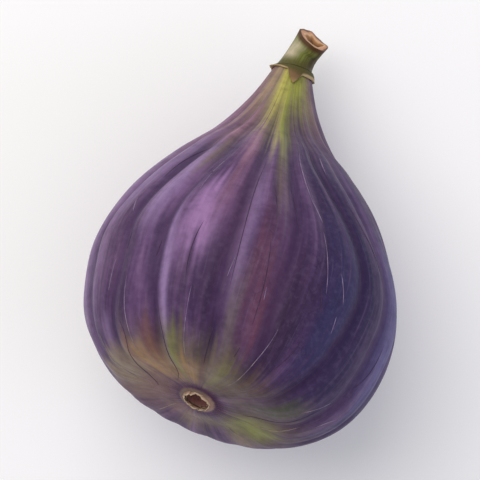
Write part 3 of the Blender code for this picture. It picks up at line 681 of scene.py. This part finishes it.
def whorl_tree(values):
    """Stands overlapping scales in a ring, each a little turned, leaning and torn in its own way."""
    tree, given = geometry_tree("scale_whorl", values)
    circle = add(tree, "GeometryNodeMeshCircle",
                 {"Vertices": given["Count"], "Radius": given["Ring radius"]})
    parts = add(tree, "ShaderNodeSeparateXYZ", {0: add(tree, "GeometryNodeInputPosition")}).node.outputs
    round_ring = add(tree, "ShaderNodeMath", {0: parts[1], 1: parts[0]}, operation='ARCTAN2')
    facing = add(tree, "ShaderNodeMath", {0: round_ring, 1: math.pi / 2}, operation='SUBTRACT')
    turned = add(tree, "ShaderNodeMath", {0: facing, 1: given["Twist"]}, operation='ADD')
    lean = add(tree, "FunctionNodeRandomValue", {2: LEAST_LEAN, 3: MOST_LEAN, "Seed": given["Seed"]},
               data_type='FLOAT')
    tilt = add(tree, "ShaderNodeMath", {0: given["Tilt"], 1: lean}, operation='ADD')
    turning = add(tree, "ShaderNodeCombineXYZ", {0: tilt, 2: turned})
    sizes = add(tree, "FunctionNodeRandomValue", {0: LEAST_SIZES, 1: MOST_SIZES, "Seed": given["Seed"]},
                data_type='FLOAT_VECTOR')
    sizes = add(tree, "ShaderNodeVectorMath", {0: sizes, "Scale": given["Size"]}, operation='SCALE')
    ring = add(tree, "GeometryNodeInstanceOnPoints", {"Points": circle, "Instance": given["Geometry"],
                                                      "Rotation": turning, "Scale": sizes})
    sink = add(tree, "ShaderNodeMath", {0: given["Sink"], 1: -1.0}, operation='MULTIPLY')
    lowered = add(tree, "ShaderNodeCombineXYZ", {2: sink})
    sunk = add(tree, "GeometryNodeTranslateInstances", {"Instances": ring, "Translation": lowered})
    joined = add(tree, "GeometryNodeRealizeInstances", {0: sunk})
    tip = add(tree, "GeometryNodeInputNamedAttribute", {"Name": "scale_tip"}, data_type='FLOAT')
    torn = add(tree, "ShaderNodeTexNoise", {"Scale": PER_MM / TEAR_WIDTH, "Detail": 2.0}, give="Color")
    swing = add(tree, "ShaderNodeVectorMath", {0: torn, 1: (0.5, 0.5, 0.5)}, operation='SUBTRACT')
    reach = add(tree, "ShaderNodeMath", {0: tip, 1: given["Tear depth"]}, operation='MULTIPLY')
    tear = add(tree, "ShaderNodeVectorMath", {0: swing, "Scale": reach}, operation='SCALE')
    ragged = add(tree, "GeometryNodeSetPosition", {"Geometry": joined, "Offset": tear})
    end_tree(tree, ragged, given["Dry scale"])
    return tree


# Dried scale tissue: thin, matt and fibrous, olive brown at the root, bleached to cream where torn.
BLOTCH_SIZE, FIBRE_SIZE, FIBRE_HEIGHT, FIBRE_STRENGTH = 0.8, 0.25, 0.06 * MM, 0.8
dry_scale, tree, shader, place = surface("dried_papery_scale", {"Roughness": 0.75})
tip = add(tree, "ShaderNodeAttribute", give="Fac", attribute_name="scale_tip")
inside = add(tree, "ShaderNodeAttribute", give="Fac", attribute_name="inner_whorl")
blotch = add(tree, "ShaderNodeTexNoise", {"Vector": place, "Scale": PER_MM / BLOTCH_SIZE, "Detail": 3.0})
blotch = add(tree, "ShaderNodeMath", {0: blotch, 1: 0.5, 2: -0.25}, operation='MULTIPLY_ADD')
reached = add(tree, "ShaderNodeMath", {0: tip, 1: blotch}, operation='ADD')
shade = add(tree, "ShaderNodeValToRGB", {0: reached},
            stops=[(0.05, "665242"), (0.25, "86695A"), (0.50, "A5836F"), (0.8, "CDB494")])
within = add(tree, "ShaderNodeValToRGB", {0: reached},
             stops=[(0.2, "4C302C"), (0.6, "70503F"), (0.95, "A08068")])
shade = add(tree, "ShaderNodeMix", {0: inside, 6: shade, 7: within}, data_type='RGBA')
tree.links.new(shade, shader.inputs["Base Color"])
fibre = add(tree, "ShaderNodeTexNoise", {"Vector": place, "Scale": PER_MM / FIBRE_SIZE, "Detail": 3.0})
bump = add(tree, "ShaderNodeBump", {"Height": fibre, "Distance": FIBRE_HEIGHT, "Strength": FIBRE_STRENGTH})
tree.links.new(bump, shader.inputs["Normal"])

whorls = []
for inner, whorl in enumerate((OUTER_WHORL, INNER_WHORL)):
    one_scale = closed_mesh("scale", scale_rings, {"scale_tip": up ** 2, "inner_whorl": float(inner)})
    whorl_values = {**whorl, "Dry scale": dry_scale}
    whorls.append(add_piece("whorl", one_scale, dry_scale))
    grow(whorls[-1], whorl_tree(whorl_values), whorl_values)
with bpy.context.temp_override(active_object=whorls[0], selected_editable_objects=whorls):
    bpy.ops.object.join()
eye_scales = whorls[0]
eye_scales.name = eye_scales.data.name = "eye_scales"
spots = np.empty(len(eye_scales.data.vertices) * 3)
eye_scales.data.vertices.foreach_get("co", spots)
spots = spots.reshape(-1, 3)
eye_scales.data.vertices.foreach_set("co", lay(-spots[:, 2], spots[:, 0], spots[:, 1]).ravel())
eye_scales.data.update()
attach(eye_scales, "root")
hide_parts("eye_scales")


# The bracts: three small leaf scales in one thin collar round the foot of the stem, pointed, green
# going brown, with dry tan edges that have curled off the neck.

# (degrees round the stem, half-width in degrees, length and curl in mm)
BRACTS = [(83, 20, 3.15, 0.12), (163, 26, 0.0, 0.55), (-14, 24, 0.45, 0.45)]
# (degrees round the stem, how far the collar reaches down the neck in mm)
COLLAR_LIP = [(-14, 0.35), (20, 0.75), (45, 1.05), (62, 1.1), (84, 0.7), (115, 0.5), (150, 0.0),
              (220, 0.2), (300, 0.3)]
# (mm up the stem, mm from its middle)
COLLAR_SHOULDER = [(0.89, 0.6), (0.89, 2.3), (0.59, 2.62), (0.24, 2.92), (-0.04, 3.16)]
COLLAR_FLOOR = [(0.05, 2.9), (0.05, 0.6)]
COLLAR_START, BRACT_THICKNESS, BRACT_CLEARANCE = -0.24 * MM, 0.34 * MM, 0.06 * MM
BRACT_THINS, BRACT_LEAN, CURL_POWER, TIP_SHARE = 0.62, 0.35, 2.2, 0.35
WAVER_SEED, WAVER_COUNTS, WAVER_HEIGHTS = 5, (5, 8, 13, 21), (-0.5, 0.5)
WAVER_DOWN, WAVER_OUT = 0.05 * MM, 0.04 * MM
FRONT_MIDDLE, FRONT_WIDTH, LIT_FROM, LIT_OVER, LEAST_LIT = 84, 26, 66, 22, 0.35
BRACT_STEPS, BRACT_COLUMNS = 14, 180

turn = 2 * math.pi * np.arange(BRACT_COLUMNS) / BRACT_COLUMNS
lip = np.interp(np.degrees(turn), *np.array(COLLAR_LIP).T, period=360) * MM
reach, lift, point = lip.copy(), np.zeros(BRACT_COLUMNS), np.zeros(BRACT_COLUMNS)
for middle, half_width, length, curl in BRACTS:
    away = np.abs((np.degrees(turn) - middle + 180) % 360 - 180) / half_width
    taper = np.clip(1 - away, 0, 1)
    point = np.maximum(point, taper)
    reach = np.maximum(reach, mix(lip, length * MM, taper))
    lift = np.maximum(lift, curl * MM * taper)
waver = waves(np.random.default_rng(WAVER_SEED), turn, WAVER_COUNTS, WAVER_HEIGHTS)
front_share = np.exp(-((np.degrees(turn) - FRONT_MIDDLE) / FRONT_WIDTH) ** 2)
# Painted light: the front point's pinkish brown is strongest on its left half, towards the key light.
front_lit = front_share * mix(LEAST_LIT, 1, smooth((np.degrees(turn) - LIT_FROM) / LIT_OVER))


def collar_ring(height, out):
    height, out = np.broadcast_to(height, turn.shape), np.broadcast_to(out, turn.shape)
    return lay(LENGTH + height, out * np.cos(turn), out * np.sin(turn))


def skin_at(place_along):
    order = np.argsort(station[:, 0])
    return np.interp(place_along, station[order, 0], radius[order, 0])


plain = np.zeros(BRACT_COLUMNS)
collar = [(collar_ring(height * MM, out * MM), plain, plain, plain) for height, out in COLLAR_SHOULDER]
for underside, steps in enumerate((np.linspace(0, 1, BRACT_STEPS), np.linspace(1, 0, BRACT_STEPS))):
    for step in steps:
        height = COLLAR_START - step * (reach + WAVER_DOWN * waver)
        thick = 0.0 if underside else BRACT_THICKNESS * (1 - BRACT_THINS * step ** 2)
        out = (skin_at(LENGTH + height) + BRACT_CLEARANCE + lift * step ** CURL_POWER + thick
               + WAVER_OUT * waver * step)
        collar.append((collar_ring(height + BRACT_LEAN * thick, out), step * mix(TIP_SHARE, 1, point),
                       step ** 2 * (1 - front_share), plain + underside))
collar += [(collar_ring(height * MM, out * MM), plain, plain, plain + 1) for height, out in COLLAR_FLOOR]
collar_rings, tips, edges, under = [np.array(kept) for kept in zip(*collar)]
mesh = closed_mesh("bracts", collar_rings, {"bract_tip": tips, "dry_edge": edges, "underside": under,
                                            "front": front_lit})

# Half-dried bract tissue: leathery and matt, dark olive where it joins the stem, pinkish brown on
# the point over the neck, stronger on its lit left half as painted light, and a thin tan rim where
# it has dried through.
BLOTCH_SIZE, FIBRE_SIZE, FIBRE_HEIGHT, FIBRE_STRENGTH = 1.1, 0.3, 0.05 * MM, 0.7
bract_leather, tree, shader, place = surface("half_dried_bract", {"Specular IOR Level": 0.25})
tip, beneath, front, dry_edge = [add(tree, "ShaderNodeAttribute", give="Fac", attribute_name=name)
                                 for name in ("bract_tip", "underside", "front", "dry_edge")]
blotch = add(tree, "ShaderNodeTexNoise", {"Vector": place, "Scale": PER_MM / BLOTCH_SIZE, "Detail": 3.0})
blotched = add(tree, "ShaderNodeMath", {0: blotch, 1: 0.3, 2: -0.15}, operation='MULTIPLY_ADD')
reached = add(tree, "ShaderNodeMath", {0: tip, 1: blotched}, operation='ADD')
shade = add(tree, "ShaderNodeValToRGB", {0: reached},
            stops=[(0.0, "4E4A22"), (0.35, "514820"), (0.62, "6E5A34"), (0.95, "A58C5C")])
browned_and_lit = add(tree, "ShaderNodeValToRGB", {0: reached}, stops=[(0.2, 0.0), (0.5, 0.9), (0.92, 0.3)])
browned_and_lit = add(tree, "ShaderNodeMath", {0: front, 1: browned_and_lit}, operation='MULTIPLY')
shade = add(tree, "ShaderNodeMix", {0: browned_and_lit, 6: shade, 7: colour("7A5A3E")}, data_type='RGBA')
beneath = add(tree, "ShaderNodeMath", {0: beneath, 1: 0.85}, operation='MULTIPLY')
shade = add(tree, "ShaderNodeMix", {0: beneath, 6: shade, 7: colour("A08A5C")}, data_type='RGBA')
rim = add(tree, "ShaderNodeMath", {0: blotch, 1: 0.2, 2: dry_edge}, operation='MULTIPLY_ADD')
rim = add(tree, "ShaderNodeValToRGB", {0: rim}, stops=[(0.30, 0.0), (0.58, 0.9)])
shade = add(tree, "ShaderNodeMix", {0: rim, 6: shade, 7: colour("B8A078")}, data_type='RGBA')
tree.links.new(shade, shader.inputs["Base Color"])
dulled = add(tree, "ShaderNodeValToRGB", {0: blotch}, stops=[(0.3, 0.52), (0.7, 0.68)])
tree.links.new(dulled, shader.inputs["Roughness"])
fibre = add(tree, "ShaderNodeTexNoise", {"Vector": place, "Scale": PER_MM / FIBRE_SIZE, "Detail": 3.0})
bump = add(tree, "ShaderNodeBump", {"Height": fibre, "Distance": FIBRE_HEIGHT, "Strength": FIBRE_STRENGTH})
tree.links.new(bump, shader.inputs["Normal"])

bracts = add_piece("bracts", mesh, bract_leather)
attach(bracts, "root")
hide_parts("bract_collar")


# The stem: a short green stalk, bent to one side, that was cut off the branch at a slant; the cut
# has dried, with a brown rim of bark, a ring of tan wood and a shrunken brown pith.

# (mm up the stem, radius in mm)
STEM_SECTION = [(0.0, 2.76), (0.3, 2.86), (0.65, 2.73), (1.05, 2.58), (1.7, 2.44), (2.5, 2.32), (3.6, 2.24),
                (4.6, 2.27), (5.3, 2.35)]
STEM_SIDE, STEM_UP, STEM_TOP, CUT_RADIUS = 1.8 * MM, 0.6 * MM, 5.3 * MM, 2.35 * MM
BEND_SHARE, SIDE_AT_FOOT, SIDE_POWER = 0.7, 0.06, 1.4
CUT_SLANT, CUT_HOLLOW, CUT_STARTS_AT = (0.42, 0.73), 0.6 * MM, 2.2 * MM
# (share of the hollow's depth, share of the cut's radius)
CUT_FACE = [(0.05, 0.985), (0.02, 0.92), (-0.10, 0.84), (-0.14, 0.74), (-0.12, 0.64), (-0.30, 0.55),
            (-0.85, 0.46), (-1.3, 0.34), (-1.55, 0.18), (-1.6, 0.02)]
RIDGE_SEED, RIDGE_COUNTS, RIDGE_HEIGHTS, RIDGE_SHARE = 8, (3, 5, 7, 11, 16), (0.3, 1.0), 0.008
CORNER_COUNTS, CORNER_HEIGHTS, CORNER_SHARE, CORNER_RISE = (3, 4, 5, 9), (0.4, 1.0), 0.022, 0.05 * MM
CORNERS_FROM, CORNERS_OVER, PITH_WANDER = 3.6 * MM, 1.7 * MM, 0.14
TORN_CORNER, TORN_HEIGHT, TORN_WIDTH = math.radians(-14), 3.4, 0.3
STEM_COLUMNS, STEM_STEPS = 120, 5

turn = 2 * math.pi * np.arange(STEM_COLUMNS) / STEM_COLUMNS
chance = np.random.default_rng(RIDGE_SEED)
ridges = waves(chance, turn, RIDGE_COUNTS, RIDGE_HEIGHTS)
corners = waves(chance, turn, CORNER_COUNTS, CORNER_HEIGHTS)
from_torn = (turn - TORN_CORNER + math.pi) % (2 * math.pi) - math.pi
corners += TORN_HEIGHT * np.exp(-from_torn ** 2 / TORN_WIDTH ** 2)


def stem_ring(height, out, raised):
    """A ring of the stem: bent over, and tilted more and more towards the slant of the cut."""
    x, z = out * np.cos(turn), out * np.sin(turn)
    rise = height / STEM_TOP
    to_cut = smooth((height - CUT_STARTS_AT) / (STEM_TOP - CUT_HOLLOW - CUT_STARTS_AT))
    slant_x = mix(2 * STEM_SIDE * rise / STEM_TOP * BEND_SHARE, CUT_SLANT[0], to_cut)
    slant_z = mix(2 * STEM_UP * rise / STEM_TOP, CUT_SLANT[1], to_cut)
    side = STEM_SIDE * mix(SIDE_AT_FOOT, 1, rise ** SIDE_POWER)
    return lay(LENGTH + height + raised - slant_x * x - slant_z * z, side + x, STEM_UP * rise ** 2 + z)


stem_rings, cut_shares, heights = [], [], []
for height, out in curve_through(STEM_SECTION, STEM_STEPS) * MM:
    near_cut = smooth((height - CORNERS_FROM) / CORNERS_OVER)
    out = out * (1 + RIDGE_SHARE * ridges + CORNER_SHARE * corners * near_cut)
    stem_rings.append(stem_ring(height, out, near_cut * CORNER_RISE * corners))
    cut_shares.append(0.0)
    heights.append(height / STEM_TOP)
for sink, narrow in CUT_FACE:
    out = CUT_RADIUS * narrow * (1 + CORNER_SHARE * corners + PITH_WANDER * (1 - narrow) * corners)
    stem_rings.append(stem_ring(STEM_TOP, out, sink * CUT_HOLLOW + CORNER_RISE * corners))
    cut_shares.append(1 - narrow)
    heights.append(1.0)
stem_run = np.empty((len(heights), STEM_COLUMNS, 3))
stem_run[..., 0], stem_run[..., 1], stem_run[..., 2] = np.cos(turn), np.sin(turn), np.array(heights)[:, None]
mesh = closed_mesh("stem", np.array(stem_rings), {"cut_face": np.array(cut_shares)[:, None]},
                   {"stem_run": stem_run})

# Fresh fig stalk: smooth green bark with a dull gloss and faint lengthwise fibres, with a grey-tan
# painted highlight on its left side and painted shade down its right; the cut is matt, dry wood.
ROUGH_SIZE, GRAIN_SIZE, FIBRE_HEIGHT, GRAIN_HEIGHT = 1.3, 0.3, 0.06 * MM, 0.03 * MM
stalk, tree, shader, place = surface("green_stalk_bark", {"Specular IOR Level": 0.2})
run_at = add(tree, "ShaderNodeAttribute", give="Vector", attribute_name="stem_run")
parts = add(tree, "ShaderNodeSeparateXYZ", {0: run_at}).node.outputs
drawn_out = add(tree, "ShaderNodeMapping", {"Vector": run_at, "Scale": (9, 9, 0.7)})
fibres = add(tree, "ShaderNodeTexNoise", {"Vector": drawn_out, "Scale": 1.0, "Detail": 3.0})
rough = add(tree, "ShaderNodeTexNoise", {"Vector": place, "Scale": PER_MM / ROUGH_SIZE, "Detail": 3.0})
grain = add(tree, "ShaderNodeTexNoise", {"Vector": place, "Scale": PER_MM / GRAIN_SIZE, "Detail": 3.0})
from_right = add(tree, "ShaderNodeMath", {0: parts[0], 1: -0.5, 2: 0.5}, operation='MULTIPLY_ADD')

shade = add(tree, "ShaderNodeValToRGB", {0: fibres},
            stops=[(0.3, "505020"), (0.5, "6B7030"), (0.72, "858A40")])
# Painted highlight: a grey-tan band down the stem's left side, towards the key light.
painted_highlight = add(tree, "ShaderNodeValToRGB", {0: from_right},
             stops=[(0.50, 0.0), (0.80, 0.95), (0.93, 0.75), (1.0, 0.2)])
for where, stops in ((rough, [(0.25, 0.65), (0.55, 1.0)]),
                     (parts[2], [(0.12, 0.0), (0.34, 1.0), (0.70, 0.85), (0.92, 0.2)])):
    left = add(tree, "ShaderNodeValToRGB", {0: where}, stops=stops)
    painted_highlight = add(tree, "ShaderNodeMath", {0: painted_highlight, 1: left}, operation='MULTIPLY')
shaded = add(tree, "ShaderNodeValToRGB", {0: from_right}, stops=[(0.10, 0.9), (0.42, 0.0)])
lower = add(tree, "ShaderNodeValToRGB", {0: parts[2]}, stops=[(0.5, 1.0), (0.95, 0.55)])
shaded = add(tree, "ShaderNodeMath", {0: shaded, 1: lower}, operation='MULTIPLY')
foot = add(tree, "ShaderNodeValToRGB", {0: parts[2]}, stops=[(0.14, 0.7), (0.36, 0.0)])
rim = add(tree, "ShaderNodeValToRGB", {0: parts[2]}, stops=[(0.83, 0.0), (0.93, 0.95)])
for amount, hexa in ((painted_highlight, "C2B49C"), (shaded, "382A10"), (foot, "4A4220"), (rim, "4A2C12")):
    shade = add(tree, "ShaderNodeMix", {0: amount, 6: shade, 7: colour(hexa)}, data_type='RGBA')
cut = add(tree, "ShaderNodeAttribute", give="Fac", attribute_name="cut_face")
wandered = add(tree, "ShaderNodeMath", {0: rough, 1: 0.16, 2: -0.08}, operation='MULTIPLY_ADD')
wandered = add(tree, "ShaderNodeMath", {0: cut, 1: wandered}, operation='ADD')
wood = add(tree, "ShaderNodeValToRGB", {0: wandered},
           stops=[(0.03, "4A2C14"), (0.10, "7C4E2E"), (0.17, "BC8A68"), (0.33, "C4926E"), (0.40, "D2AC86"),
                  (0.50, "9A6C40"), (0.66, "5E3C1C")])
on_cut = add(tree, "ShaderNodeValToRGB", {0: cut}, stops=[(0.008, 0.0), (0.02, 1.0)])
shade = add(tree, "ShaderNodeMix", {0: on_cut, 6: shade, 7: wood}, data_type='RGBA')
tree.links.new(shade, shader.inputs["Base Color"])
dulled = add(tree, "ShaderNodeValToRGB", {0: rough}, stops=[(0.3, 0.42), (0.7, 0.6)])
tree.links.new(dulled, shader.inputs["Roughness"])
height = add(tree, "ShaderNodeMath", {0: grain, 1: GRAIN_HEIGHT}, operation='MULTIPLY')
height = add(tree, "ShaderNodeMath", {0: fibres, 1: FIBRE_HEIGHT, 2: height}, operation='MULTIPLY_ADD')
bump = add(tree, "ShaderNodeBump", {"Height": height, "Distance": 1.0, "Strength": BUMP_STRENGTH})
tree.links.new(bump, shader.inputs["Normal"])

stem = add_piece("stem", mesh, stalk)
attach(stem, "root")
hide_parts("stem")
